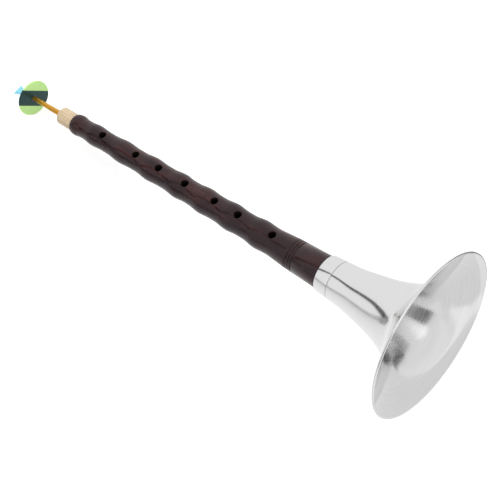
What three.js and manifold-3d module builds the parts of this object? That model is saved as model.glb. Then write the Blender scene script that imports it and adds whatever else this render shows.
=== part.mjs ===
// A suona: a double-reed horn with a turned wooden pipe and a slip-on metal bell, in millimetres, +Z up.
// It lies on a table, touching it with the rim of the bell and the edge of the lip disc, bell towards +X.
// Places are measured along the instrument's own axis from the face of the lip disc, positive to the bell.
// Outlines are lists of [place, radius] that run along the outside first and come back along the bore.

import * as THREE from 'three';
import { mergeVertices } from 'three/addons/utils/BufferGeometryUtils.js';
import Module from 'manifold-3d';

const wasm = await Module();
wasm.setup();

// Shared fits
const clearance = 0.3;
const overrun = 3;

// Lip disc
const disc = { radius: 14.6, thickness: 1.6, bevel: 0.3 };

// Reed, a flattened tube whose stub pushes onto the tip of the staple
const reed = {
  stubLength: 2,
  stubRadius: 1.75,
  waistRadius: 1.55,
  waistLength: 5.6,
  bladeLength: 10,
  wall: 0.3,
  tipHalfWidth: 4.6,
  tipHalfThickness: 0.55,
  slitHalfHeight: 0.2,
  leanDegrees: 4,
};
const thread = { diameter: 0.42, seat: 0.12, loops: 5 };

// Staple, the tapered tube between the reed and the ferrule
const staple = {
  shown: 34.4,
  wall: 0.4,
  tipLength: 4.6,
  tipRadius: 0.85,
  seatRadius: 0.95,
  shoulderLength: 0.3,
  neckRadius: 1.7,
  mouthRadius: 2.3,
  footRadius: 2.5,
  plugLength: 16,
};
const stapleLapping = { thickness: 0.8, inset: 0.6 };

// Ferrule, the pale wooden socket between the staple and the pipe
const ferrule = { shown: 15.6, radius: 6.85, bevel: 0.5, tenonRadius: 5, tenonLength: 12, throatRadius: 2.7 };
const socket = { depth: 19 };

// Pipe, the turned wooden body
const pipe = { shown: 248.3, headRadius: 7.4, footRadius: 12.3, boreTopRadius: 3.2, boreEndRadius: 7.3 };
const fingerHole = { radius: 2.85 };
const ring = { count: 3, pitch: 2.35, width: 0.9, depth: 0.35 };
const tenon = { grip: 3.8, radius: 10.6, length: 28 };
const tenonLapping = { inset: 1.6, length: 22 };

// Bell, a collar soldered round the throat of a flare whose edge is rolled over a wire
const collar = { length: 10.8, edgeRadius: 13.55, bore: 12.85, counterbore: 13.35 };
const flare = { length: 74.9, throatRadius: 14.3, wall: 0.7, spigotLength: 6, spigotWall: 0.65 };
const rim = { radius: 60, wireRadius: 0.8 };

// How the holes and the reed are turned about the axis, away from straight up
const rollDegrees = 11;

// Each row is a crest and the waist after it, as shares of the shown length and of the foot's radius
const bulgeShares = [
  [0.017, 0.675, 0.046, 0.609],
  [0.093, 0.682, 0.147, 0.627],
  [0.2155, 0.718, 0.276, 0.659],
  [0.3375, 0.746, 0.395, 0.686],
  [0.454, 0.774, 0.4975, 0.71],
  [0.5535, 0.801, 0.603, 0.746],
  [0.658, 0.829, 0.711, 0.76],
  [0.7675, 0.865, 0.8175, 0.815],
];
const coneStartShares = [0.88, 0.915];
const firstRingShare = 0.8917;
const fingerHoleShares = [0.133, 0.278, 0.375, 0.483, 0.6, 0.69, 0.818];
const thumbHoleShare = 0.206;
const crestSharpness = 1.6;

// The bell's outside, as shares of the flare's length and of its growth from throat to rim
const flareShares = [
  [0, 0],
  [0.146, 0.021],
  [0.319, 0.072],
  [0.474, 0.127],
  [0.59, 0.183],
  [0.702, 0.26],
  [0.786, 0.345],
  [0.853, 0.485],
  [0.927, 0.73],
  [1, 1],
];

// Facet counts
const sides = { thin: 24, pipe: 28, disc: 32, bell: 44, hole: 16, reed: 28, wire: 8, thread: 6 };
const steps = { crest: 3, head: 3, flare: 15, loop: 24, blade: 5 };

// Places that follow from the sizes above
const discBack = -disc.thickness;
const reedPlace = discBack - clearance;
const ferrulePlace = staple.shown;
const pipePlace = ferrulePlace + ferrule.shown;
const collarPlace = pipePlace + pipe.shown;
const tenonPlace = collarPlace + tenon.grip;
const pipeEnd = tenonPlace + tenon.length;
const seamPlace = collarPlace + collar.length;
const rimPlace = seamPlace + flare.length;

// The spigot clears the collar's counterbore, and the lapping clears the spigot
const spigotRadius = collar.counterbore - clearance;
const spigotBore = spigotRadius - flare.spigotWall;
const reedBore = reed.waistRadius - reed.wall;

function flatRadius(radius, sideCount) {
  return radius * Math.cos(Math.PI / sideCount);
}

// Turns a closed outline about the X axis, with one flat of the polygon straight down
function turned(outline, sideCount) {
  const points = outline.map(([place, radius]) => new THREE.Vector2(radius, place));
  points.push(points[0].clone());
  const geometry = new THREE.LatheGeometry(points, sideCount, Math.PI / sideCount);
  geometry.rotateZ(-Math.PI / 2);
  return geometry;
}

// Joins rings of points, each with the same count, into a closed skin
function skinned(rings, capped) {
  const size = rings[0].length;
  const positions = rings.flat();
  const indices = [];
  const last = capped ? rings.length - 1 : rings.length;
  for (let row = 0; row < last; row += 1) {
    const next = (row + 1) % rings.length;
    for (let i = 0; i < size; i += 1) {
      const j = (i + 1) % size;
      indices.push(row * size + i, next * size + i, next * size + j);
      indices.push(row * size + i, next * size + j, row * size + j);
    }
  }
  if (capped) {
    for (let i = 1; i < size - 1; i += 1) {
      indices.push(0, i, i + 1);
      indices.push(last * size, last * size + i + 1, last * size + i);
    }
  }
  const geometry = new THREE.BufferGeometry();
  geometry.setAttribute('position', new THREE.Float32BufferAttribute(positions.flatMap((p) => p.toArray()), 3));
  geometry.setIndex(indices);
  return geometry;
}

function solid(geometry) {
  const bare = geometry.clone();
  bare.deleteAttribute('normal');
  bare.deleteAttribute('uv');
  const merged = mergeVertices(bare);
  const mesh = new wasm.Mesh({
    numProp: 3,
    vertProperties: new Float32Array(merged.attributes.position.array),
    triVerts: new Uint32Array(merged.index.array),
  });
  return new wasm.Manifold(mesh);
}

function geometryOf(manifold) {
  const mesh = manifold.getMesh();
  const geometry = new THREE.BufferGeometry();
  geometry.setAttribute('position', new THREE.Float32BufferAttribute(mesh.vertProperties, 3));
  geometry.setIndex(new THREE.Uint32BufferAttribute(mesh.triVerts, 1));
  geometry.computeVertexNormals();
  return geometry;
}

function mesh(name, geometry, material) {
  const piece = new THREE.Mesh(geometry, material);
  piece.name = name;
  return piece;
}

const materials = {
  rosewood: new THREE.MeshStandardMaterial({ color: 0x3f2c2c, roughness: 0.35, metalness: 0 }),
  paleWood: new THREE.MeshStandardMaterial({ color: 0xdcc09a, roughness: 0.55, metalness: 0 }),
  brass: new THREE.MeshStandardMaterial({ color: 0xc98f2c, roughness: 0.3, metalness: 1 }),
  nickel: new THREE.MeshStandardMaterial({ color: 0xd9d9d6, roughness: 0.25, metalness: 1 }),
  disc: new THREE.MeshStandardMaterial({ color: 0xa8dd78, roughness: 0.3, metalness: 0 }),
  reed: new THREE.MeshStandardMaterial({ color: 0x8fdcf2, roughness: 0.4, metalness: 0 }),
  thread: new THREE.MeshStandardMaterial({ color: 0xa02a22, roughness: 0.8, metalness: 0 }),
  cork: new THREE.MeshStandardMaterial({ color: 0xb98d5c, roughness: 0.9, metalness: 0 }),
};

// The thin disc that the lips rest against
function lipDisc() {
  const bore = staple.neckRadius + clearance;
  return turned([
    [discBack, disc.radius - disc.bevel],
    [discBack + disc.bevel, disc.radius],
    [-disc.bevel, disc.radius],
    [0, disc.radius - disc.bevel],
    [0, bore],
    [discBack, bore],
  ], sides.disc);
}

// A ring of the reed: an ellipse across the axis, at a depth measured from the stub's end
function reedRing(depth, halfWidth, halfThickness) {
  return Array.from({ length: sides.reed }, (unused, i) => {
    const turn = (2 * Math.PI * i) / sides.reed;
    return new THREE.Vector3(-depth, halfWidth * Math.cos(turn), halfThickness * Math.sin(turn));
  });
}

// The reed: a round stub, a narrower waist and two blades pressed flat, open from end to end
function reedTube() {
  const waistStart = reed.stubLength;
  const bladeStart = waistStart + reed.waistLength;
  const outside = [
    [0, reed.stubRadius, reed.stubRadius],
    [waistStart, reed.stubRadius, reed.stubRadius],
    [waistStart + reed.wall, reed.waistRadius, reed.waistRadius],
  ];
  const inside = [[0, reedBore, reedBore]];
  for (let i = 0; i <= steps.blade; i += 1) {
    const share = i / steps.blade;
    const depth = bladeStart + share * reed.bladeLength;
    const halfWidth = THREE.MathUtils.lerp(reed.waistRadius, reed.tipHalfWidth, share);
    const eased = Math.sin((share * Math.PI) / 2);
    const halfThickness = THREE.MathUtils.lerp(reed.waistRadius, reed.tipHalfThickness, eased);
    const slit = THREE.MathUtils.lerp(reedBore, reed.slitHalfHeight, eased);
    outside.push([depth, halfWidth, halfThickness]);
    inside.push([depth, halfWidth - reed.wall, slit]);
  }
  const rings = [...outside, ...inside.reverse()].map((row) => reedRing(...row));
  return skinned(rings, false);
}

// Least distance between turns of a wound tube's centre line, less the tube's own thickness
function leastSelfGap(points, radius, pointsPerLoop) {
  let least = Infinity;
  for (let i = 0; i < points.length; i += 1) {
    for (let j = i + pointsPerLoop / 2; j < points.length; j += 1) {
      least = Math.min(least, points[i].distanceTo(points[j]));
    }
  }
  return least - 2 * radius;
}

// The thread wound round the reed's waist, one unbroken tube with a straight end each way
function threadWinding() {
  const radius = thread.diameter / 2;
  const coilRadius = reed.waistRadius + thread.seat + radius;
  const coilStart = reed.stubLength + reed.wall + thread.diameter;
  const coilLength = reed.waistLength - reed.wall - 2 * thread.diameter;
  const count = thread.loops * steps.loop;
  const centres = [];
  const outward = [];
  for (let i = 0; i <= count; i += 1) {
    const turn = (2 * Math.PI * i) / steps.loop;
    const depth = coilStart + (coilLength * i) / count;
    outward.push(new THREE.Vector3(0, Math.cos(turn), Math.sin(turn)));
    centres.push(outward[i].clone().multiplyScalar(coilRadius).setX(-depth));
  }
  console.log('least gap between turns, mm:', leastSelfGap(centres, radius, steps.loop).toFixed(2));
  const leadIn = centres[0].clone().sub(centres[1]).setLength(thread.diameter).add(centres[0]);
  const leadOut = centres[count].clone().sub(centres[count - 1]).setLength(thread.diameter).add(centres[count]);
  const path = [leadIn, ...centres, leadOut];
  const radials = [outward[0], ...outward, outward[count]];
  const rings = path.map((centre, k) => {
    const along = path[Math.min(k + 1, path.length - 1)].clone().sub(path[Math.max(k - 1, 0)]).normalize();
    const side = new THREE.Vector3().crossVectors(along, radials[k]).normalize();
    return Array.from({ length: sides.thread }, (unused, i) => {
      const turn = (-2 * Math.PI * i) / sides.thread;
      const across = radials[k].clone().multiplyScalar(Math.cos(turn)).addScaledVector(side, Math.sin(turn));
      return centre.clone().addScaledVector(across, radius);
    });
  });
  return skinned(rings, true);
}

// The tapered brass tube, stepped down to a fine tip that carries the reed
function stapleTube() {
  const tipPlace = reedPlace - staple.tipLength;
  const stepPlace = reedPlace + staple.shoulderLength;
  const foot = ferrulePlace + staple.plugLength;
  return turned([
    [tipPlace, staple.tipRadius],
    [reedPlace, staple.seatRadius],
    [stepPlace, staple.neckRadius],
    [ferrulePlace, staple.mouthRadius],
    [foot, staple.footRadius],
    [foot, staple.footRadius - staple.wall],
    [stepPlace + staple.wall, staple.neckRadius - staple.wall],
    [reedPlace, staple.seatRadius - staple.wall],
    [tipPlace, staple.tipRadius - staple.wall],
  ], sides.thin);
}

// The thread packing that seals the staple in its socket
function staplePacking() {
  const inner = staple.footRadius + clearance;
  const outer = inner + stapleLapping.thickness;
  const start = ferrulePlace + stapleLapping.inset;
  const end = ferrulePlace + staple.plugLength;
  return turned([[start, outer], [end, outer], [end, inner], [start, inner]], sides.thin);
}

// The pale socket: a head that shows, a tenon inside the pipe, and a stepped bore for the packed staple
function ferruleBody() {
  const socketRadius = staple.footRadius + stapleLapping.thickness + 2 * clearance;
  const socketEnd = ferrulePlace + socket.depth;
  const tenonEnd = pipePlace + ferrule.tenonLength;
  const headEnd = pipePlace - clearance;
  return turned([
    [ferrulePlace, ferrule.radius - ferrule.bevel],
    [ferrulePlace + ferrule.bevel, ferrule.radius],
    [headEnd, ferrule.radius],
    [headEnd, ferrule.tenonRadius],
    [tenonEnd, ferrule.tenonRadius],
    [tenonEnd, ferrule.throatRadius],
    [socketEnd, ferrule.throatRadius],
    [socketEnd, socketRadius],
    [ferrulePlace, socketRadius],
  ], sides.thin);
}

// The curve between a crest and a waist, sharper at the crest than at the waist
function swellPoints(crest, waist, rising) {
  return Array.from({ length: steps.crest }, (unused, i) => {
    const share = rising ? 1 - (i + 1) / steps.crest : (i + 1) / steps.crest;
    const height = ((1 + Math.cos(Math.PI * share)) / 2) ** crestSharpness;
    const place = THREE.MathUtils.lerp(crest[0], waist[0], share);
    return [place, THREE.MathUtils.lerp(waist[1], crest[1], height)];
  });
}

// The pipe's outside from the rounded head over the bulges to the start of the plain cone
function bulgePoints() {
  const at = (placeShare, radiusShare) => [pipePlace + placeShare * pipe.shown, radiusShare * pipe.footRadius];
  const rows = bulgeShares.map(([a, b, c, d]) => ({ crest: at(a, b), waist: at(c, d) }));
  const first = rows[0].crest;
  const points = [];
  for (let i = 0; i < steps.head; i += 1) {
    const turn = (Math.PI / 2) * (i / steps.head);
    const place = first[0] - (first[0] - pipePlace) * Math.cos(turn);
    points.push([place, THREE.MathUtils.lerp(pipe.headRadius, first[1], Math.sin(turn))]);
  }
  points.push(first);
  rows.forEach((row, i) => {
    points.push(...swellPoints(row.crest, row.waist, false));
    if (rows[i + 1]) points.push(...swellPoints(rows[i + 1].crest, row.waist, true));
  });
  return points;
}

// The plain cone towards the bell with its engraved rings, up to the shoulder of the tenon
function conePoints() {
  const start = pipePlace + coneStartShares[0] * pipe.shown;
  const startRadius = coneStartShares[1] * pipe.footRadius;
  const slope = (pipe.footRadius - startRadius) / (collarPlace - start);
  const radiusAt = (place) => startRadius + slope * (place - start);
  const points = [[start, startRadius]];
  for (let i = 0; i < ring.count; i += 1) {
    const middle = pipePlace + firstRingShare * pipe.shown + i * ring.pitch;
    const half = ring.width / 2;
    points.push([middle - half, radiusAt(middle - half)]);
    points.push([middle, radiusAt(middle) - ring.depth]);
    points.push([middle + half, radiusAt(middle + half)]);
  }
  points.push([tenonPlace, radiusAt(tenonPlace)]);
  return points;
}

// A straight drill from the axis outwards, along +Z or -Z
function drill(placeShare, direction) {
  const length = pipe.footRadius + overrun;
  const cutter = new THREE.CylinderGeometry(fingerHole.radius, fingerHole.radius, length, sides.hole);
  cutter.rotateX(Math.PI / 2);
  cutter.translate(pipePlace + placeShare * pipe.shown, 0, (direction * length) / 2);
  return solid(cutter);
}

// The wooden pipe: bulges, rings, tenons at both ends, a conical bore and its finger and thumb holes
function pipeBody() {
  const seatRadius = ferrule.tenonRadius + clearance;
  const seatEnd = pipePlace + ferrule.tenonLength + clearance;
  const outline = [
    ...bulgePoints(),
    ...conePoints(),
    [tenonPlace, tenon.radius],
    [pipeEnd, tenon.radius],
    [pipeEnd, pipe.boreEndRadius],
    [seatEnd, pipe.boreTopRadius],
    [seatEnd, seatRadius],
    [pipePlace, seatRadius],
  ];
  let body = solid(turned(outline, sides.pipe));
  for (const share of fingerHoleShares) body = body.subtract(drill(share, 1));
  return geometryOf(body.subtract(drill(thumbHoleShare, -1)));
}

// The cork that grips the bell, round the pipe's lower tenon
function tenonPacking() {
  const inner = tenon.radius + clearance;
  const outer = spigotBore - clearance;
  const start = tenonPlace + tenonLapping.inset;
  const end = start + tenonLapping.length;
  return turned([[start, outer], [end, outer], [end, inner], [start, inner]], sides.pipe);
}

// The collar: a short cone over the wood, counterbored for the spigot of the flare
function collarSleeve() {
  const step = seamPlace - flare.spigotLength - clearance;
  const end = seamPlace - clearance;
  return turned([
    [collarPlace, collar.edgeRadius],
    [end, flare.throatRadius],
    [end, collar.counterbore],
    [step, collar.counterbore],
    [step, collar.bore],
    [collarPlace, collar.bore],
  ], sides.bell);
}

// The outside of the flare from the seam to its free edge, beside the rim wire
function flareOutside() {
  const edgePlace = rimPlace - rim.wireRadius;
  const edgeRadius = rim.radius - 2 * rim.wireRadius - clearance;
  const curve = new THREE.SplineCurve(flareShares.map(([along, grown]) => new THREE.Vector2(
    THREE.MathUtils.lerp(seamPlace, edgePlace, along),
    THREE.MathUtils.lerp(flare.throatRadius, edgeRadius, grown),
  )));
  return curve.getSpacedPoints(steps.flare);
}

// The flare: a sheet of even wall that ends in a spigot inside the collar
function flareShell() {
  const outside = flareOutside();
  const inside = outside.map((point, i) => {
    const before = outside[Math.max(i - 1, 0)];
    const after = outside[Math.min(i + 1, outside.length - 1)];
    const along = after.clone().sub(before).normalize();
    return [point.x + along.y * flare.wall, point.y - along.x * flare.wall];
  });
  const spigotStart = seamPlace - flare.spigotLength;
  return turned([
    [spigotStart, spigotRadius],
    [seamPlace, spigotRadius],
    ...outside.map((point) => [point.x, point.y]),
    ...inside.reverse(),
    [seamPlace, spigotBore],
    [spigotStart, spigotBore],
  ], sides.bell);
}

// The wire in the rolled edge, with a flat all round its front to stand on
function rimWire() {
  const outline = Array.from({ length: sides.wire }, (unused, i) => {
    const turn = (2 * Math.PI * (i + 0.5)) / sides.wire;
    const reach = rim.wireRadius / Math.cos(Math.PI / sides.wire);
    const middle = rim.radius - rim.wireRadius;
    return [rimPlace - rim.wireRadius + reach * Math.sin(turn), middle + reach * Math.cos(turn)];
  });
  return turned(outline, sides.bell);
}

// The reed and its thread lean a little on the staple's tip, about the middle of their seat
function reedGroup() {
  const seat = new THREE.Group();
  const pieces = new THREE.Group();
  const pivot = staple.tipLength / 2;
  pieces.position.x = pivot;
  pieces.add(mesh('reed_blades', reedTube(), materials.reed));
  pieces.add(mesh('reed_binding', threadWinding(), materials.thread));
  seat.position.x = reedPlace - pivot;
  seat.rotation.z = THREE.MathUtils.degToRad(reed.leanDegrees);
  seat.add(pieces);
  return seat;
}

// What faces the player's front: the finger holes and the flat of the reed
function frontGroup() {
  const group = new THREE.Group();
  group.rotation.x = THREE.MathUtils.degToRad(rollDegrees);
  group.add(mesh('pipe', pipeBody(), materials.rosewood));
  group.add(reedGroup());
  return group;
}

// The tilt at which the edge of the disc and the rim of the bell touch the same table
function restTilt() {
  const rimFlat = flatRadius(rim.radius, sides.bell);
  const discFlat = flatRadius(disc.radius, sides.disc);
  const rimTouch = rimPlace - rim.wireRadius - rim.wireRadius * Math.tan(Math.PI / sides.wire);
  const discTouch = discBack + disc.bevel;
  return Math.atan2(rimFlat - discFlat, rimTouch - discTouch);
}

const suona = new THREE.Group();
suona.add(frontGroup());
suona.add(mesh('lip_disc', lipDisc(), materials.disc));
suona.add(mesh('staple', stapleTube(), materials.brass));
suona.add(mesh('staple_lapping', staplePacking(), materials.thread));
suona.add(mesh('ferrule', ferruleBody(), materials.paleWood));
suona.add(mesh('tenon_cork', tenonPacking(), materials.cork));
suona.add(mesh('bell_collar', collarSleeve(), materials.nickel));
suona.add(mesh('bell_flare', flareShell(), materials.nickel));
suona.add(mesh('bell_rim_wire', rimWire(), materials.nickel));
suona.rotation.y = -restTilt();

// The origin is the middle of the footprint, on the table
const bounds = new THREE.Box3().setFromObject(suona, true);
const centre = bounds.getCenter(new THREE.Vector3());
suona.position.set(-centre.x, -centre.y, -bounds.min.z);

const object = new THREE.Group();
object.add(suona);
export default object;
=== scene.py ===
# A suona lying on a white table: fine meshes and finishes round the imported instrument. Sizes are in metres.
# An outline is a list of (place, radius). A place runs along the instrument's own axis from the front face
# of the lip disc, positive to the bell. A third number in a corner is how far its rounding reaches.

import math
from types import SimpleNamespace as Sizes

import bpy
from mathutils import Matrix, Vector


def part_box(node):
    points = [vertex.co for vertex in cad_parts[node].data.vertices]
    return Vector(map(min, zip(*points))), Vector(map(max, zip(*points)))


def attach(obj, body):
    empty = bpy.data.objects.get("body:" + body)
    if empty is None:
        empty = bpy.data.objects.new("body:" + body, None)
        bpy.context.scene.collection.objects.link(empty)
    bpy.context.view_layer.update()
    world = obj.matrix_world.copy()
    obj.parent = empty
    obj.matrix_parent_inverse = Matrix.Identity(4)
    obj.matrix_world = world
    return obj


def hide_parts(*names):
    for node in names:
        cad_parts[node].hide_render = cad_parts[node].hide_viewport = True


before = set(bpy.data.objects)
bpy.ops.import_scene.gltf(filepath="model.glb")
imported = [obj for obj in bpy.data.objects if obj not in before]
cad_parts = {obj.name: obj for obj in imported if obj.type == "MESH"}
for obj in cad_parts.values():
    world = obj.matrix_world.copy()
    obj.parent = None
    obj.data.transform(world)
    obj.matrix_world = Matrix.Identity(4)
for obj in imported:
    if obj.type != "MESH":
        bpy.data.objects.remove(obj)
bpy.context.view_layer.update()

# The gap between pieces that fit into each other
clearance = 0.0003

# Lip disc
disc = Sizes(radius=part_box("lip_disc")[1].y, thickness=0.0016, edge=0.0005)

# Reed, a flattened tube whose stub pushes onto the tip of the staple
reed = Sizes(stub_length=0.002, stub_radius=0.00175, waist_radius=0.00155, waist_length=0.0056,
             blade_length=0.01, wall=0.0003, tip_half_width=0.0046, tip_half_thickness=0.00055,
             slit_half_height=0.0002, lean=math.radians(4))
thread = Sizes(radius=0.00021, seat=0.0001, loops=10)

# Staple, the tapered tube between the reed and the ferrule, and the thread packed round its foot
staple = Sizes(shown=0.0344, wall=0.0004, tip_length=0.0046, tip_radius=0.00085, seat_radius=0.00095,
               shoulder=0.0003, neck_radius=0.0017, mouth_radius=0.0023, foot_radius=0.0025,
               plug_length=0.016, edge=0.0001)
lapping = Sizes(thickness=0.0008, inset=0.0006, thread_radius=0.00024)

# Ferrule, the pale wooden socket between the staple and the pipe
ferrule = Sizes(shown=0.0156, radius=0.00685, edge=0.0008, tenon_radius=0.005, tenon_length=0.012,
                throat_radius=0.0027, socket_radius=0.0039, socket_depth=0.019, fine_edge=0.0003)

# Pipe, the turned wooden body
pipe = Sizes(shown=0.2483, head_radius=0.0074, foot_radius=0.0123, bore_top_radius=0.0032,
             bore_end_radius=0.0073, edge=0.0005)
hole = Sizes(radius=0.00285, edge=0.0005, overrun=0.003)
ring = Sizes(count=3, pitch=0.00235, width=0.001, depth=0.0004, burnt_share=1 / 6)
tenon = Sizes(grip=0.0038, radius=0.0106, length=0.028)
cork = Sizes(gap=0.0002, outer_radius=0.0121, inset=0.0016, length=0.022, edge=0.0006)

# Bell, a collar round the throat of a flare whose edge is rolled over a wire
collar = Sizes(length=0.0108, edge_radius=0.01355, bore=0.01285, counterbore=0.01335, edge=0.0002)
flare = Sizes(length=0.0749, throat_radius=0.0143, wall=0.0007, spigot_length=0.006, spigot_radius=0.01305,
              spigot_bore=0.0124, seam=0.0003)
rim = Sizes(radius=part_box("bell_rim_wire")[1].y, wire_radius=0.0008)

# How the holes and the reed are turned about the axis, away from straight up
roll = math.radians(11)

# Each row is a crest and the waist after it, as shares of the shown length and of the foot's radius
bulge_shares = [
    (0.017, 0.675, 0.046, 0.609),
    (0.093, 0.682, 0.147, 0.627),
    (0.2155, 0.718, 0.276, 0.659),
    (0.3375, 0.746, 0.395, 0.686),
    (0.454, 0.774, 0.4975, 0.71),
    (0.5535, 0.801, 0.603, 0.746),
    (0.658, 0.829, 0.711, 0.76),
    (0.7675, 0.865, 0.8175, 0.815),
]
cone_start_shares = (0.88, 0.915)
first_ring_share = 0.8917
finger_hole_shares = (0.133, 0.278, 0.375, 0.483, 0.6, 0.69, 0.818)
thumb_hole_share = 0.206
crest_sharpness = 1.6

# The bell's outside, as shares of the flare's length and of its growth from throat to rim
flare_shares = [
    (0, 0),
    (0.146, 0.021),
    (0.319, 0.072),
    (0.474, 0.127),
    (0.59, 0.183),
    (0.702, 0.26),
    (0.786, 0.345),
    (0.853, 0.485),
    (0.927, 0.73),
    (1, 1),
]

# How finely the meshes are cut
sides = Sizes(thin=64, pipe=112, disc=96, bell=176, hole=40, reed=48, wire=16, thread=8)
steps = Sizes(crest=10, head=8, flare=8, groove=6, loop=24, blade=12, corner=4)
sharp_angle = math.radians(32)

# A face of the pipe that leans outward by less than this share is a wall of a hole or of the bore, and gets
# painted shade
outward_share = 0.2

# Places that follow from the sizes above
disc_back = -disc.thickness
reed_place = disc_back - clearance
ferrule_place = staple.shown
pipe_place = ferrule_place + ferrule.shown
collar_place = pipe_place + pipe.shown
tenon_place = collar_place + tenon.grip
pipe_end = tenon_place + tenon.length
seam_place = collar_place + collar.length
rim_place = seam_place + flare.length
ring_places = [pipe_place + first_ring_share * pipe.shown + k * ring.pitch for k in range(ring.count)]


def middle(node):
    low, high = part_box(node)
    return (low + high) / 2


# The instrument's own axis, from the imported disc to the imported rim
disc_middle = middle("lip_disc")
axis = (middle("bell_rim_wire") - disc_middle).normalized()
origin = disc_middle + axis * (disc.thickness / 2)
tilt = math.atan2(axis.z, axis.x)
lying = Matrix.Translation(origin) @ Matrix.Rotation(-tilt, 4, "Y")
front = lying @ Matrix.Rotation(roll, 4, "X")


def lerp(a, b, share):
    return a + (b - a) * share


# The angles of so many equal turns about a circle
def equal_turns(count):
    return [2 * math.pi * i / count for i in range(count)]


# Rounds the corners of an outline that say how far their rounding reaches
def rounded(corners):
    outline = []
    for k, corner in enumerate(corners):
        here = Vector(corner[:2])
        if len(corner) == 2:
            outline.append(here)
            continue
        before = Vector(corners[k - 1][:2]) - here
        after = Vector(corners[(k + 1) % len(corners)][:2]) - here
        start = here + before.normalized() * corner[2]
        end = here + after.normalized() * corner[2]
        for i in range(steps.corner + 1):
            share = i / steps.corner
            outline.append(start.lerp(here, share).lerp(here.lerp(end, share), share))
    return outline


# A smooth curve through the points, with as many steps from each to the next
def smooth_curve(points, count):
    curve = []
    for k in range(len(points) - 1):
        start, end = Vector(points[k]), Vector(points[k + 1])
        leave = (end - Vector(points[max(k - 1, 0)])) / 2
        arrive = (Vector(points[min(k + 2, len(points) - 1)]) - start) / 2
        for i in range(count):
            t = i / count
            cubic = (2 * start - 2 * end + leave + arrive) * t**3
            square = (3 * end - 3 * start - 2 * leave - arrive) * t**2
            curve.append(cubic + square + leave * t + start)
    curve.append(Vector(points[-1]))
    return curve


def new_object(name, vertices, faces):
    mesh = bpy.data.meshes.new(name)
    mesh.from_pydata(vertices, [], faces)
    mesh.update()
    made = bpy.data.objects.new(name, mesh)
    bpy.context.scene.collection.objects.link(made)
    return made


# Joins rings of points, each with the same count, into one skin that closes on itself or gets two caps
def skin(name, rings, capped=False):
    size = len(rings[0])
    vertices = [point for points in rings for point in points]
    faces = []
    for row in range(len(rings) - 1 if capped else len(rings)):
        after = (row + 1) % len(rings)
        for i in range(size):
            j = (i + 1) % size
            faces.append((row * size + i, after * size + i, after * size + j, row * size + j))
    if capped:
        last = (len(rings) - 1) * size
        faces.append(tuple(range(size)))
        faces.append(tuple(last + i for i in range(size - 1, -1, -1)))
    return new_object(name, vertices, faces)


# Turns a closed outline about the axis; its texture map runs round the axis and along the outline
def turned(name, corners, count):
    outline = rounded(corners)
    turns = equal_turns(count)
    rings = []
    for place, radius in outline:
        rings.append([(place, -radius * math.cos(turn), radius * math.sin(turn)) for turn in turns])
    made = skin(name, rings)
    lay = made.data.uv_layers.new(name="turned")
    for face in made.data.polygons:
        row, column = divmod(face.index, count)
        for loop, (across, along) in zip(face.loop_indices, ((0, 0), (0, 1), (1, 1), (1, 0))):
            lay.data[loop].uv = ((column + across) / count, (row + along) / len(outline))
    return made


# Puts a finished piece in its place in the frame, on its body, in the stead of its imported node
def settle(piece, place, body, node, slot, *finishes):
    piece.data.transform(place)
    for finish in finishes:
        piece.data.materials.append(finish)
    piece.data.shade_smooth()
    piece.data.set_sharp_from_angle(angle=sharp_angle)
    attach(piece, body)
    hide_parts(node)


# Cuts the tools from the piece for good
def carve(piece, tools):
    for tool in tools:
        cut = piece.modifiers.new("cut", "BOOLEAN")
        cut.operation = "DIFFERENCE"
        cut.solver = "MANIFOLD"
        cut.object = tool
    graph = bpy.context.evaluated_depsgraph_get()
    carved = bpy.data.meshes.new_from_object(piece.evaluated_get(graph))
    piece.modifiers.clear()
    piece.data = carved
    carved.materials.clear()
    for tool in tools:
        bpy.data.objects.remove(tool)


# The thin disc that the lips rest against
def lip_disc():
    bore = staple.neck_radius + clearance
    return turned("disc_plate", [
        (disc_back, disc.radius, disc.edge),
        (0, disc.radius, disc.edge),
        (0, bore),
        (disc_back, bore),
    ], sides.disc)


# A ring of the reed: an ellipse across the axis, at a depth measured from the stub's end
def reed_ring(depth, half_width, half_thickness):
    turns = equal_turns(sides.reed)
    return [(-depth, half_width * math.cos(turn), half_thickness * math.sin(turn)) for turn in turns]


# The reed: a round stub, a narrower waist and two blades pressed flat, open from end to end
def reed_blades():
    bore = reed.waist_radius - reed.wall
    blade_start = reed.stub_length + reed.waist_length
    outside = [
        (0, reed.stub_radius, reed.stub_radius),
        (reed.stub_length, reed.stub_radius, reed.stub_radius),
        (reed.stub_length + reed.wall, reed.waist_radius, reed.waist_radius),
    ]
    inside = [(0, bore, bore)]
    for i in range(steps.blade + 1):
        share = i / steps.blade
        depth = blade_start + share * reed.blade_length
        half_width = lerp(reed.waist_radius, reed.tip_half_width, share)
        eased = math.sin(share * math.pi / 2)
        outside.append((depth, half_width, lerp(reed.waist_radius, reed.tip_half_thickness, eased)))
        inside.append((depth, half_width - reed.wall, lerp(bore, reed.slit_half_height, eased)))
    rings = [reed_ring(*row) for row in outside + inside[::-1]]
    return skin("reed_film", rings)


# A thread wound about the axis from one place to another, as one unbroken tube
def winding(name, start, end, coil_radius, radius, loops):
    ahead = Vector((1, 0, 0))
    count = loops * steps.loop
    rings = []
    for k in range(count + 1):
        turn = 2 * math.pi * k / steps.loop
        outward = Vector((0, math.cos(turn), math.sin(turn)))
        centre = outward * coil_radius + ahead * lerp(start, end, k / count)
        points = []
        for lean in equal_turns(sides.thread):
            points.append(centre + (outward * math.cos(lean) + ahead * math.sin(lean)) * radius)
        rings.append(points)
    return skin(name, rings, capped=True)


def reed_binding():
    coil_radius = reed.waist_radius + thread.seat + thread.radius
    start = reed.stub_length + reed.wall + thread.radius
    end = reed.stub_length + reed.waist_length - thread.radius
    return winding("reed_thread", -start, -end, coil_radius, thread.radius, thread.loops)


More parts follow.
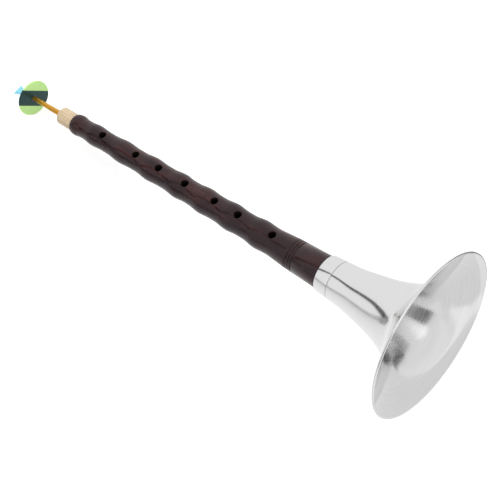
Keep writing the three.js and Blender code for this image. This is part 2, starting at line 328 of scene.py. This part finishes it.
# The tapered brass tube, stepped down to a fine tip that carries the reed
def staple_tube():
    tip = reed_place - staple.tip_length
    step = reed_place + staple.shoulder
    foot = ferrule_place + staple.plug_length
    return turned("staple_tube", [
        (tip, staple.tip_radius, staple.edge),
        (reed_place, staple.seat_radius),
        (step, staple.neck_radius),
        (ferrule_place, staple.mouth_radius),
        (foot, staple.foot_radius, staple.edge),
        (foot, staple.foot_radius - staple.wall),
        (step + staple.wall, staple.neck_radius - staple.wall),
        (reed_place, staple.seat_radius - staple.wall),
        (tip, staple.tip_radius - staple.wall),
    ], sides.thin)


# The thread packing that seals the staple in its socket
def staple_lapping():
    start = ferrule_place + lapping.inset + lapping.thread_radius
    end = ferrule_place + staple.plug_length - lapping.thread_radius
    coil_radius = staple.foot_radius + clearance + lapping.thickness - lapping.thread_radius
    loops = round((end - start) / (2 * lapping.thread_radius))
    return winding("staple_packing", start, end, coil_radius, lapping.thread_radius, loops)


# The pale socket: a head that shows, a tenon inside the pipe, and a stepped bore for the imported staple
def ferrule_body():
    head_end = pipe_place - clearance / 2
    tenon_end = pipe_place + ferrule.tenon_length
    socket_end = ferrule_place + ferrule.socket_depth
    return turned("socket_ferrule", [
        (ferrule_place, ferrule.radius, ferrule.edge),
        (head_end, ferrule.radius, ferrule.fine_edge),
        (head_end, ferrule.tenon_radius),
        (tenon_end, ferrule.tenon_radius),
        (tenon_end, ferrule.throat_radius),
        (socket_end, ferrule.throat_radius),
        (socket_end, ferrule.socket_radius),
        (ferrule_place, ferrule.socket_radius, ferrule.fine_edge),
    ], sides.thin)


# The curve between a crest and a waist, sharper at the crest than at the waist
def swell(crest, waist, rising):
    points = []
    for i in range(1, steps.crest + 1):
        share = 1 - i / steps.crest if rising else i / steps.crest
        height = ((1 + math.cos(math.pi * share)) / 2) ** crest_sharpness
        points.append((lerp(crest[0], waist[0], share), lerp(waist[1], crest[1], height)))
    return points


# The pipe's outside from the rounded head over the bulges to the start of the plain cone
def bulges():
    rows = []
    for row in bulge_shares:
        places = [pipe_place + share * pipe.shown for share in row[0::2]]
        radii = [share * pipe.foot_radius for share in row[1::2]]
        rows.append(list(zip(places, radii)))
    first = rows[0][0]
    points = []
    for i in range(steps.head):
        turn = math.pi / 2 * i / steps.head
        place = first[0] - (first[0] - pipe_place) * math.cos(turn)
        points.append((place, lerp(pipe.head_radius, first[1], math.sin(turn))))
    points.append(first)
    for k, (crest, waist) in enumerate(rows):
        points += swell(crest, waist, False)
        if k + 1 < len(rows):
            points += swell(rows[k + 1][0], waist, True)
    return points


# The plain cone towards the bell with its engraved rings, from the last waist to the shoulder of the tenon
def cone(before):
    start = pipe_place + cone_start_shares[0] * pipe.shown
    start_radius = cone_start_shares[1] * pipe.foot_radius
    slope = (pipe.foot_radius - start_radius) / (collar_place - start)
    points = smooth_curve([*before[-2:], (start, start_radius)], steps.crest)[steps.crest + 1:]
    for centre in ring_places:
        for i in range(steps.groove + 1):
            share = 2 * i / steps.groove - 1
            place = centre + share * ring.width / 2
            sunk = ring.depth * (1 + math.cos(math.pi * share)) / 2
            points.append((place, start_radius + slope * (place - start) - sunk))
    points.append((tenon_place, start_radius + slope * (tenon_place - start), pipe.edge))
    return points


# How far the pipe's outside is from the axis at a place
def pipe_radius(outside, place):
    for before, after in zip(outside, outside[1:]):
        if before[0] <= place <= after[0]:
            return lerp(before[1], after[1], (place - before[0]) / (after[0] - before[0]))
    return outside[-1][1]


# A drill whose shank widens at the pipe's skin, so that it leaves a softened edge there
def drill(outside, share, up):
    centre = pipe_place + share * pipe.shown

    def circle(radius, lift):
        points = []
        for turn in equal_turns(sides.hole):
            along, across = radius * math.cos(turn), radius * math.sin(turn)
            surface = math.sqrt(pipe_radius(outside, centre + along) ** 2 - across**2)
            points.append((centre + along, -up * across, up * (surface + lift)))
        return points

    shank = [(x, y, 0) for x, y, z in circle(hole.radius, 0)]
    edge = []
    for i in range(steps.corner + 1):
        turn = math.pi / 2 * i / steps.corner
        edge.append(circle(hole.radius + hole.edge * (1 - math.cos(turn)), hole.edge * (math.sin(turn) - 1)))
    edge.append(circle(hole.radius + 2 * hole.edge, hole.edge))
    top = [(x, y, up * (pipe.foot_radius + hole.overrun)) for x, y, z in edge[-1]]
    return skin("drill", [shank] + edge + [top], capped=True)


# The wooden pipe: bulges, rings, tenons at both ends, a conical bore and its finger and thumb holes
def pipe_body():
    outside = bulges()
    outside += cone(outside)
    seat_radius = ferrule.tenon_radius + clearance
    seat_end = pipe_place + ferrule.tenon_length + clearance
    body = turned("wooden_pipe", outside + [
        (tenon_place, tenon.radius),
        (pipe_end, tenon.radius, pipe.edge),
        (pipe_end, pipe.bore_end_radius, pipe.edge),
        (seat_end, pipe.bore_top_radius),
        (seat_end, seat_radius),
        (pipe_place, seat_radius),
    ], sides.pipe)
    surface = [point[:2] for point in outside]
    tools = [drill(surface, share, 1) for share in finger_hole_shares]
    carve(body, tools + [drill(surface, thumb_hole_share, -1)])
    # Walls of the holes and the bore take the second finish as painted shade; the ring bottoms take its dark
    # colour too
    for face in body.data.polygons:
        radius = face.center.yz.length
        painted_shade_wall = face.normal.yz.dot(face.center.yz) < outward_share * radius
        # Faces at the middle of each engraved ring are darkened
        from_ring = min(abs(face.center.x - place) for place in ring_places)
        dark_groove = radius > tenon.radius and from_ring < ring.width * ring.burnt_share
        if painted_shade_wall or dark_groove:
            face.material_index = 1
    return body


# The cork that grips the bell, round the pipe's lower tenon
def tenon_cork():
    start = tenon_place + cork.inset
    end = start + cork.length
    inner = tenon.radius + cork.gap
    return turned("cork_sleeve", [
        (start, cork.outer_radius, cork.edge),
        (end, cork.outer_radius, cork.edge),
        (end, inner),
        (start, inner),
    ], sides.pipe)


# The collar: a short cone over the wood, counterbored for the spigot of the flare
def collar_sleeve():
    end = seam_place - flare.seam
    step = seam_place - flare.spigot_length - flare.seam
    return turned("bell_sleeve", [
        (collar_place, collar.edge_radius, collar.edge),
        (end, flare.throat_radius, collar.edge),
        (end, collar.counterbore),
        (step, collar.counterbore),
        (step, collar.bore),
        (collar_place, collar.bore, collar.edge),
    ], sides.bell)


# The outside of the flare from the seam to its edge in the rolled rim
def flare_outside():
    edge_place = rim_place - rim.wire_radius
    edge_radius = rim.radius - rim.wire_radius
    points = []
    for along, grown in flare_shares:
        points.append((lerp(seam_place, edge_place, along), lerp(flare.throat_radius, edge_radius, grown)))
    return smooth_curve(points, steps.flare)


# The flare: a spun sheet of even wall that ends in a spigot inside the collar
def flare_shell():
    outside = flare_outside()
    inside = []
    for k, point in enumerate(outside):
        along = (outside[min(k + 1, len(outside) - 1)] - outside[max(k - 1, 0)]).normalized()
        inside.append((point.x + along.y * flare.wall, point.y - along.x * flare.wall))
    spigot_start = seam_place - flare.spigot_length
    corners = [(spigot_start, flare.spigot_radius), (seam_place, flare.spigot_radius)]
    corners += [tuple(point) for point in outside]
    first_inside = len(corners) * sides.bell
    corners += inside[::-1] + [(seam_place, flare.spigot_bore), (spigot_start, flare.spigot_bore)]
    shell = turned("bell_cone", corners, sides.bell)
    for face in shell.data.polygons[first_inside:]:
        face.material_index = 1
    return shell


# The sheet's edge, rolled over a wire into a round bead
def rim_bead():
    place, radius = rim_place - rim.wire_radius, rim.radius - rim.wire_radius
    outline = []
    for turn in equal_turns(sides.wire):
        outline.append((place + rim.wire_radius * math.sin(turn), radius + rim.wire_radius * math.cos(turn)))
    return turned("rim_bead", outline, sides.bell)


# The octaves of the three kinds of noise, and the roughness of most of it
octaves = Sizes(plain=4, fine=5, pores=2)
noise_roughness = 0.55


# Adds a node to a material or world and fills its inputs with numbers or with other nodes' outputs
def add(tree, kind, inputs, **settings):
    made = tree.nodes.new(kind)
    for key, value in settings.items():
        setattr(made, key, value)
    for key, value in inputs.items():
        if isinstance(value, bpy.types.NodeSocket):
            tree.links.new(value, made.inputs[key])
        else:
            made.inputs[key].default_value = value
    return made


def new_finish(name, **values):
    finish = bpy.data.materials.new(name)
    finish.use_nodes = True
    shader = finish.node_tree.nodes["Principled BSDF"]
    for key, value in values.items():
        shader.inputs[key.replace("_", " ")].default_value = value
    return finish, finish.node_tree, shader


# Coordinates in metres along the instrument's own axis and across it
def own_coordinates(tree):
    place = add(tree, "ShaderNodeTexCoord", {}).outputs["Object"]
    return add(tree, "ShaderNodeMapping", {"Vector": place, "Location": origin, "Rotation": lying.to_euler()},
               vector_type="TEXTURE").outputs["Vector"]


# Noise with so many features per metre along the axis and across it
def noise(tree, vector, scale, detail=octaves.plain, roughness=noise_roughness):
    fitted = add(tree, "ShaderNodeMapping", {"Vector": vector, "Scale": scale}).outputs["Vector"]
    inputs = {"Vector": fitted, "Scale": 1, "Detail": detail, "Roughness": roughness}
    return add(tree, "ShaderNodeTexNoise", inputs).outputs["Fac"]


# A colour that goes through the given ones while the factor goes through the stops
def ramp(tree, factor, stops, *colours):
    made = add(tree, "ShaderNodeValToRGB", {"Fac": factor})
    elements = made.color_ramp.elements
    while len(elements) < len(stops):
        elements.new(1)
    for element, stop, colour in zip(elements, stops, colours):
        element.position = stop
        element.color = (*colour, 1)
    return made.outputs["Color"]


# A number that goes from one value to another while the factor goes from low to high
def between(tree, factor, low, high, start, end):
    inputs = {"Value": factor, "From Min": low, "From Max": high, "To Min": start, "To Max": end}
    return add(tree, "ShaderNodeMapRange", inputs).outputs["Result"]


def mixed(tree, factor, start, end):
    return add(tree, "ShaderNodeMix", {0: factor, 6: start, 7: end}, data_type="RGBA").outputs[2]


def math_node(tree, operation, *values):
    return add(tree, "ShaderNodeMath", dict(enumerate(values)), operation=operation).outputs[0]


def vector_node(tree, operation, *values):
    return add(tree, "ShaderNodeVectorMath", dict(enumerate(values)), operation=operation).outputs["Vector"]


def bump(tree, height, distance):
    inputs = {"Height": height, "Distance": distance, "Strength": 1}
    return add(tree, "ShaderNodeBump", inputs).outputs["Normal"]


# The place along the axis and the distance from it, in metres
def place_and_radius(tree, vector):
    parts = add(tree, "ShaderNodeSeparateXYZ", {"Vector": vector}).outputs
    squares = [math_node(tree, "POWER", parts[key], 2) for key in "YZ"]
    return parts["X"], math_node(tree, "SQRT", math_node(tree, "ADD", *squares))


def link(tree, shader, **sockets):
    for key, value in sockets.items():
        tree.links.new(value, shader.inputs[key.replace("_", " ")])


# Colours are linear, and a grain is given in features per metre along the axis and across it. Stops are the
# values of a noise at which the colours stand; a noise_range is stretched to the range that is named after it
wood_look = Sizes(dark=(0.012, 0.005, 0.006), brown=(0.025, 0.01, 0.011), red=(0.066, 0.021, 0.018),
                  stops=(0.36, 0.5, 0.66), shift=(0.02, 0.694, 0.279), figure=(22, 110, 110),
                  figure_share=0.7, cloud=(45, 80, 80), cloud_share=0.3, pores=(220, 2400, 2400),
                  pore_range=(0.36, 0.44), pore_depth=0.00004)
cut_look = Sizes(noise_range=(0.3, 0.7), roughness=(0.5, 0.8))
pale_look = Sizes(light=(0.68, 0.54, 0.36), dark=(0.5, 0.37, 0.21), stops=(0.34, 0.56),
                  grain=(40, 1500, 1500), pores=(300, 3600, 3600), pore_range=(0.34, 0.42),
                  pore_depth=0.00002)
brass_look = Sizes(bright=(0.7, 0.355, 0.04), dull=(0.52, 0.235, 0.022), stops=(0.38, 0.55),
                   cloud=(90, 200, 200), noise_range=(0.35, 0.65), roughness=(0.38, 0.3),
                   scratches=(150, 5000, 5000), scratch_depth=0.000001)
outside_look = Sizes(colour=(0.81, 0.81, 0.81), stain=(0.79, 0.79, 0.79), deep=0.14, lip=0.1,
                     lines=1300, arcs=5, line_depth=0.0000004, anisotropy=0.35)
# The inside's colours are darker than the outside's: painted shade inside the bell
shaded_inside_look = Sizes(colour=(0.74, 0.74, 0.74), stain=(0.7, 0.7, 0.7), deep=0.27, lip=0.06,
                    lines=1300, arcs=3, line_depth=0.000003, anisotropy=0.85)
spun = Sizes(deep_radius=0.024, lip_radius=0.048, stops=(0.35, 0.65), noise_range=(0.3, 0.7),
             polish=(0.8, 1.2), noise_roughness=0.5)
disc_look = Sizes(pale=(0.64, 1, 0.36), band=(0.012, 0.055, 0.052), band_half_width=0.0062,
                  turn=math.radians(-35), swirl=(300, 300, 300), noise_range=(0.3, 0.7), shade=(0.95, 1))
film_look = Sizes(pale=(0.4, 0.88, 1), deep=(0.26, 0.72, 0.94), stops=(0.35, 0.6),
                  fibres=(250, 5000, 5000), depth=0.00001)
thread_look = Sizes(bright=(0.62, 0.045, 0.03), dark=(0.3, 0.012, 0.01), stops=(0.35, 0.6),
                    fibres=(6000, 6000, 6000), depth=0.00003)
cork_look = Sizes(light=(0.55, 0.33, 0.16), dark=(0.22, 0.11, 0.05), stops=(0.05, 0.4), grains=1100,
                  depth=0.0001)


# Dark rosewood: black and reddish streaks, long open pores and a thin worn lacquer
def rosewood():
    finish, tree, shader = new_finish("rosewood", Roughness=0.13, Specular_IOR_Level=0.36,
                                      Specular_Tint=(1, 0.88, 0.95, 1))
    place = vector_node(tree, "ADD", own_coordinates(tree), wood_look.shift)
    figure = math_node(tree, "MULTIPLY", noise(tree, place, wood_look.figure), wood_look.figure_share)
    cloud = math_node(tree, "MULTIPLY", noise(tree, place, wood_look.cloud), wood_look.cloud_share)
    veins = math_node(tree, "ADD", figure, cloud)
    colour = ramp(tree, veins, wood_look.stops, wood_look.dark, wood_look.brown, wood_look.red)
    pores = between(tree, noise(tree, place, wood_look.pores, octaves.pores), *wood_look.pore_range, 0, 1)
    colour = mixed(tree, pores, (*wood_look.dark, 1), colour)
    link(tree, shader, Base_Color=colour, Normal=bump(tree, pores, wood_look.pore_depth))
    return finish


# The darkened bottoms of the engraved rings, and painted shade on the walls of the holes and the bore
def dark_rings_and_hole_shade():
    finish, tree, shader = new_finish("dark_rings_and_hole_shade", Base_Color=(*wood_look.dark, 1), Specular_IOR_Level=0.2)
    pores = noise(tree, own_coordinates(tree), wood_look.pores)
    link(tree, shader, Roughness=between(tree, pores, *cut_look.noise_range, *cut_look.roughness))
    return finish


# Pale close-grained wood with fine lines along the axis
def pale_wood():
    finish, tree, shader = new_finish("pale_wood", Specular_IOR_Level=0.4, Roughness=0.45)
    place = own_coordinates(tree)
    grain = noise(tree, place, pale_look.grain, octaves.fine)
    pores = between(tree, noise(tree, place, pale_look.pores, octaves.pores), *pale_look.pore_range, 0, 1)
    colour = ramp(tree, grain, pale_look.stops, pale_look.dark, pale_look.light)
    colour = mixed(tree, pores, (*pale_look.dark, 1), colour)
    link(tree, shader, Base_Color=colour, Normal=bump(tree, pores, pale_look.pore_depth))
    return finish


# Orange brass, drawn along its length and a little dulled by hands
def staple_brass():
    finish, tree, shader = new_finish("staple_brass", Metallic=0.75)
    place = own_coordinates(tree)
    cloud = noise(tree, place, brass_look.cloud)
    scratches = noise(tree, place, brass_look.scratches, octaves.pores)
    colour = ramp(tree, cloud, brass_look.stops, brass_look.dull, brass_look.bright)
    roughness = between(tree, cloud, *brass_look.noise_range, *brass_look.roughness)
    link(tree, shader, Base_Color=colour, Roughness=roughness,
         Normal=bump(tree, scratches, brass_look.scratch_depth))
    return finish


# Spun nickel plate: fine broken lines round the axis, and a roughness that changes towards the lip
def spun_metal(name, look):
    finish, tree, shader = new_finish(name, Metallic=1, Anisotropic=look.anisotropy,
                                      Anisotropic_Rotation=0.25)
    place = own_coordinates(tree)
    along, radius = place_and_radius(tree, place)
    across = vector_node(tree, "MULTIPLY", place, (0, 1, 1))
    outward = vector_node(tree, "MULTIPLY", vector_node(tree, "NORMALIZE", across), (look.arcs,) * 3)
    profile = add(tree, "ShaderNodeCombineXYZ", {"X": along, "Y": radius}).outputs["Vector"]
    pattern = vector_node(tree, "ADD", vector_node(tree, "MULTIPLY", profile, (look.lines,) * 3), outward)
    lines = noise(tree, pattern, (1, 1, 1), octaves.fine, spun.noise_roughness)
    tangent = add(tree, "ShaderNodeTangent", {}, direction_type="UV_MAP", uv_map="turned").outputs["Tangent"]
    colour = ramp(tree, lines, spun.stops, look.stain, look.colour)
    worked = between(tree, radius, spun.deep_radius, spun.lip_radius, look.deep, look.lip)
    roughness = math_node(tree, "MULTIPLY", worked, between(tree, lines, *spun.noise_range, *spun.polish))
    link(tree, shader, Base_Color=colour, Roughness=roughness, Tangent=tangent,
         Normal=bump(tree, lines, look.line_depth))
    return finish


# Pearly plastic, pale green with one plain dark band across
def disc_plastic():
    finish, tree, shader = new_finish("disc_plastic", Roughness=0.22, Specular_IOR_Level=0.3)
    place = own_coordinates(tree)
    parts = add(tree, "ShaderNodeSeparateXYZ", {"Vector": place}).outputs
    across = math_node(tree, "MULTIPLY", parts["Y"], -math.sin(disc_look.turn))
    across = math_node(tree, "MULTIPLY_ADD", parts["Z"], math.cos(disc_look.turn), across)
    swirl = noise(tree, place, disc_look.swirl, octaves.fine)
    shade = between(tree, swirl, *disc_look.noise_range, *disc_look.shade)
    band = between(tree, math_node(tree, "ABSOLUTE", across), disc_look.band_half_width,
                   disc_look.band_half_width + disc.edge, 1, 0)
    colour = mixed(tree, band, (*disc_look.pale, 1), (*disc_look.band, 1))
    link(tree, shader, Base_Color=mixed(tree, shade, (*disc_look.band, 1), colour))
    return finish


# Thin blue reed film with fibres from stub to tip
def reed_film():
    finish, tree, shader = new_finish("reed_film", Roughness=0.35, Transmission_Weight=0.25, IOR=1.4)
    fibres = noise(tree, own_coordinates(tree), film_look.fibres)
    colour = ramp(tree, fibres, film_look.stops, film_look.deep, film_look.pale)
    link(tree, shader, Base_Color=colour, Normal=bump(tree, fibres, film_look.depth))
    return finish


# Waxed red thread, on the reed and on the staple's foot
def red_thread():
    finish, tree, shader = new_finish("red_thread", Roughness=0.6, Sheen_Weight=0.3)
    fibres = noise(tree, own_coordinates(tree), thread_look.fibres)
    colour = ramp(tree, fibres, thread_look.stops, thread_look.dark, thread_look.bright)
    link(tree, shader, Base_Color=colour, Normal=bump(tree, fibres, thread_look.depth))
    return finish


# Raw cork, pressed from light and dark grains
def cork_bark():
    finish, tree, shader = new_finish("cork_bark", Roughness=0.85, Specular_IOR_Level=0.25)
    inputs = {"Vector": own_coordinates(tree), "Scale": cork_look.grains}
    cells = add(tree, "ShaderNodeTexVoronoi", inputs).outputs
    shade = add(tree, "ShaderNodeSeparateColor", {"Color": cells["Color"]}).outputs["Red"]
    colour = ramp(tree, shade, cork_look.stops, cork_look.dark, cork_look.light)
    link(tree, shader, Base_Color=colour, Normal=bump(tree, cells["Distance"], cork_look.depth))
    return finish


# The reed leans on the staple's tip about the middle of its seat
reed_seat = (front @ Matrix.Translation((reed_place - staple.tip_length / 2, 0, 0))
             @ Matrix.Rotation(reed.lean, 4, "Z") @ Matrix.Translation((staple.tip_length / 2, 0, 0)))
thread_finish = red_thread()
outer_metal = spun_metal("bell_outside", outside_look)
# The flare's inside is the same metal with darker colours, as painted shade
shaded_inner_metal = spun_metal("bell_inside_shaded", shaded_inside_look)
settle(lip_disc(), lying, "disc", "lip_disc", "disc_plastic", disc_plastic())
settle(reed_blades(), reed_seat, "reed", "reed_blades", "reed_film", reed_film())
settle(reed_binding(), reed_seat, "reed", "reed_binding", "red_thread", thread_finish)
settle(staple_tube(), lying, "staple_tube", "staple", "staple_brass", staple_brass())
settle(staple_lapping(), lying, "staple_tube", "staple_lapping", "red_thread", thread_finish)
settle(ferrule_body(), lying, "wood_pipe", "ferrule", "pale_wood", pale_wood())
settle(pipe_body(), front, "wood_pipe", "pipe", "rosewood", rosewood(), dark_rings_and_hole_shade())
settle(tenon_cork(), lying, "wood_pipe", "tenon_cork", "cork", cork_bark())
settle(collar_sleeve(), lying, "bell", "bell_collar", "bell_metal", outer_metal)
settle(flare_shell(), lying, "bell", "bell_flare", "bell_metal", outer_metal, shaded_inner_metal)
settle(rim_bead(), lying, "bell", "bell_rim_wire", "bell_metal", outer_metal)

# What the camera sees, at the photograph's viewing angle; the lens and the sensor are in millimetres
view = Sizes(place=(0.3782, -0.37257, 0.66549), azimuth=math.radians(41.868), elevation=math.radians(52.374),
             lens=83.41, sensor=36)

# Studio: a white table in a white tent, lit from behind the reed
table = Sizes(half=3, albedo=0.68, seen_glow=0.575, mirrored_glow=0.22)
tent = Sizes(diffuse=0.88, mirrored=0.92, seen=1)
key = Sizes(place=(-0.72, 0.2, 1.08), width=0.14, power=5.5)

# Dark and bright cards that polished metal mirrors, some of them painted light and shade on the table; each
# reaches so far across and along from its middle
cards = [
    Sizes(name="slot", shade=0.08,
          middle=(-0.334, -0.2375, 0.385), across=(0.019, -0.038, 0), along=(0, -0.0525, 0.365)),
    # Painted shade in the corner where the tent's wall meets the table
    Sizes(name="table_edge", shade=0.35,
          middle=(-0.17, -0.31, 0.003), across=(0, 0, 0.014), along=(0.19, -0.13, 0)),
    Sizes(name="side_wall", shade=0.35,
          middle=(-0.17, -0.13, 0.03), across=(0.13, 0, 0.008), along=(0, 0, 0.029)),
    Sizes(name="front_stand", shade=0.15,
          middle=(0.54, -0.67, 0.325), across=(0.255, 0.109, 0), along=(0, 0, 0.32)),
    Sizes(name="front_light", shade=1.3,
          middle=(0.71, -0.255, 0.57), across=(0.11, 0.187, 0), along=(-0.14, 0.086, 0.15)),
    Sizes(name="back_stand", shade=0.08,
          middle=(0.2749, 0.2605, 0.1), across=(-0.072, 0.0188, 0), along=(0.0109, -0.026, 0.1)),
    Sizes(name="back_curtain", shade=0.2,
          middle=(0.3054, 0.1875, 0.38), across=(-0.048, 0.0125, 0), along=(0.0196, -0.047, 0.18)),
    Sizes(name="table_back", shade=0.9,
          middle=(-1.355, 1.465, 0.0005), across=(1.545, 0, 0), along=(0, 1.435, 0)),
    Sizes(name="table_far_side", shade=0.64,
          middle=(-1.25, -1.64, 0.0005), across=(1.75, 0, 0), along=(0, 1.36, 0)),
    Sizes(name="table_side", shade=0.64, far_shade=1.1,
          middle=(-0.08, -0.11, 0.0005), across=(0.28, 0, 0), along=(0, 0.17, 0)),
    # A darker patch of table, seen only in reflections
    Sizes(name="dark_cloth", shade=0.25,
          middle=(0.2625, 0.19, 0.0015), across=(0.03, 0, 0), along=(0.018, 0.09, 0)),
    Sizes(name="table_front", shade=0.85,
          middle=(0.55, 0.05, 0.0005), across=(0.35, 0, 0), along=(0, 0.45, 0)),
    # Brighter stretches of table beyond the bell, seen only in reflections
    Sizes(name="far_paper", shade=0.98,
          middle=(0.472, 0.286, 0.001), across=(0.158, 0.255, 0), along=(0.255, -0.158, 0)),
    Sizes(name="side_paper", shade=0.95,
          middle=(0.59, -0.22, 0.001), across=(0.35, 0, 0), along=(0, 0.2, 0)),
    # A pool of light on the table, as a bright card seen only in reflections
    Sizes(name="bright_paper", shade=1.1,
          middle=(0.274, 0.045, 0.002), across=(-0.006, 0.02, 0), along=(0.007, 0.002, 0)),
]


def make_camera():
    data = bpy.data.cameras.new("camera")
    data.lens = view.lens
    data.sensor_width = view.sensor
    camera = bpy.data.objects.new("camera", data)
    camera.location = view.place
    camera.rotation_euler = (math.pi / 2 - view.elevation, 0, view.azimuth)
    bpy.context.scene.collection.objects.link(camera)
    bpy.context.scene.camera = camera


def empty_finish(name):
    finish = bpy.data.materials.new(name)
    finish.use_nodes = True
    finish.node_tree.nodes.clear()
    return finish, finish.node_tree


# A strength that depends on what kind of ray meets the surface
def strength_by_ray(tree, plain, mirrored, seen):
    rays = add(tree, "ShaderNodeLightPath", {}).outputs
    polished = math_node(tree, "MAXIMUM", rays["Is Glossy Ray"], rays["Is Transmission Ray"])
    strength = add(tree, "ShaderNodeMix", {0: polished, 2: plain, 3: mirrored}).outputs[0]
    return add(tree, "ShaderNodeMix", {0: rays["Is Camera Ray"], 2: strength, 3: seen}).outputs[0]


# The table: plain white, and brighter to the eye and in a mirror than the light on it makes it
def make_table():
    finish, tree = empty_finish("white_table")
    plain = add(tree, "ShaderNodeBsdfDiffuse", {"Color": (table.albedo,) * 3 + (1,)}).outputs[0]
    strength = strength_by_ray(tree, 0, table.mirrored_glow, table.seen_glow)
    glow = add(tree, "ShaderNodeEmission", {"Strength": strength}).outputs[0]
    both = add(tree, "ShaderNodeAddShader", {0: plain, 1: glow}).outputs[0]
    add(tree, "ShaderNodeOutputMaterial", {"Surface": both})
    corners = [(-table.half, -table.half, 0), (table.half, -table.half, 0),
               (table.half, table.half, 0), (-table.half, table.half, 0)]
    floor = new_object("table", corners, [(0, 1, 2, 3)])
    floor.data.materials.append(finish)


# The tent's walls, all of one white, as the world
def make_tent():
    world = bpy.data.worlds.new("tent")
    world.use_nodes = True
    bpy.context.scene.world = world
    tree = world.node_tree
    tree.nodes.clear()
    strength = strength_by_ray(tree, tent.diffuse, tent.mirrored, tent.seen)
    back = add(tree, "ShaderNodeBackground", {"Color": (1, 1, 1, 1), "Strength": strength}).outputs[0]
    add(tree, "ShaderNodeOutputWorld", {"Surface": back})


# A soft square lamp that faces the middle of the table
def make_key():
    data = bpy.data.lights.new("key", "AREA")
    data.size = key.width
    data.energy = key.power
    lamp = bpy.data.objects.new("key", data)
    lamp.location = key.place
    lamp.rotation_euler = Vector(key.place).to_track_quat("Z", "Y").to_euler()
    lamp.visible_glossy = False
    bpy.context.scene.collection.objects.link(lamp)


# A flat card that only polished surfaces see; one with a far shade fades towards its highest y
def make_card(card):
    finish, tree = empty_finish(card.name)
    strength = card.shade
    if hasattr(card, "far_shade"):
        place = add(tree, "ShaderNodeTexCoord", {}).outputs["Generated"]
        share = add(tree, "ShaderNodeSeparateXYZ", {"Vector": place}).outputs["Y"]
        strength = between(tree, share, 0, 1, card.shade, card.far_shade)
    glow = add(tree, "ShaderNodeEmission", {"Color": (1, 1, 1, 1), "Strength": strength}).outputs[0]
    add(tree, "ShaderNodeOutputMaterial", {"Surface": glow})
    centre, across, along = Vector(card.middle), Vector(card.across), Vector(card.along)
    corners = [centre - across - along, centre + across - along,
               centre + across + along, centre - across + along]
    made = new_object(card.name, corners, [(0, 1, 2, 3)])
    made.data.materials.append(finish)
    made.visible_camera = False
    made.visible_diffuse = False
    made.visible_transmission = False
    made.visible_shadow = False


make_camera()
make_table()
make_tent()
make_key()
for card in cards:
    make_card(card)
bpy.context.scene.view_settings.view_transform = "Standard"
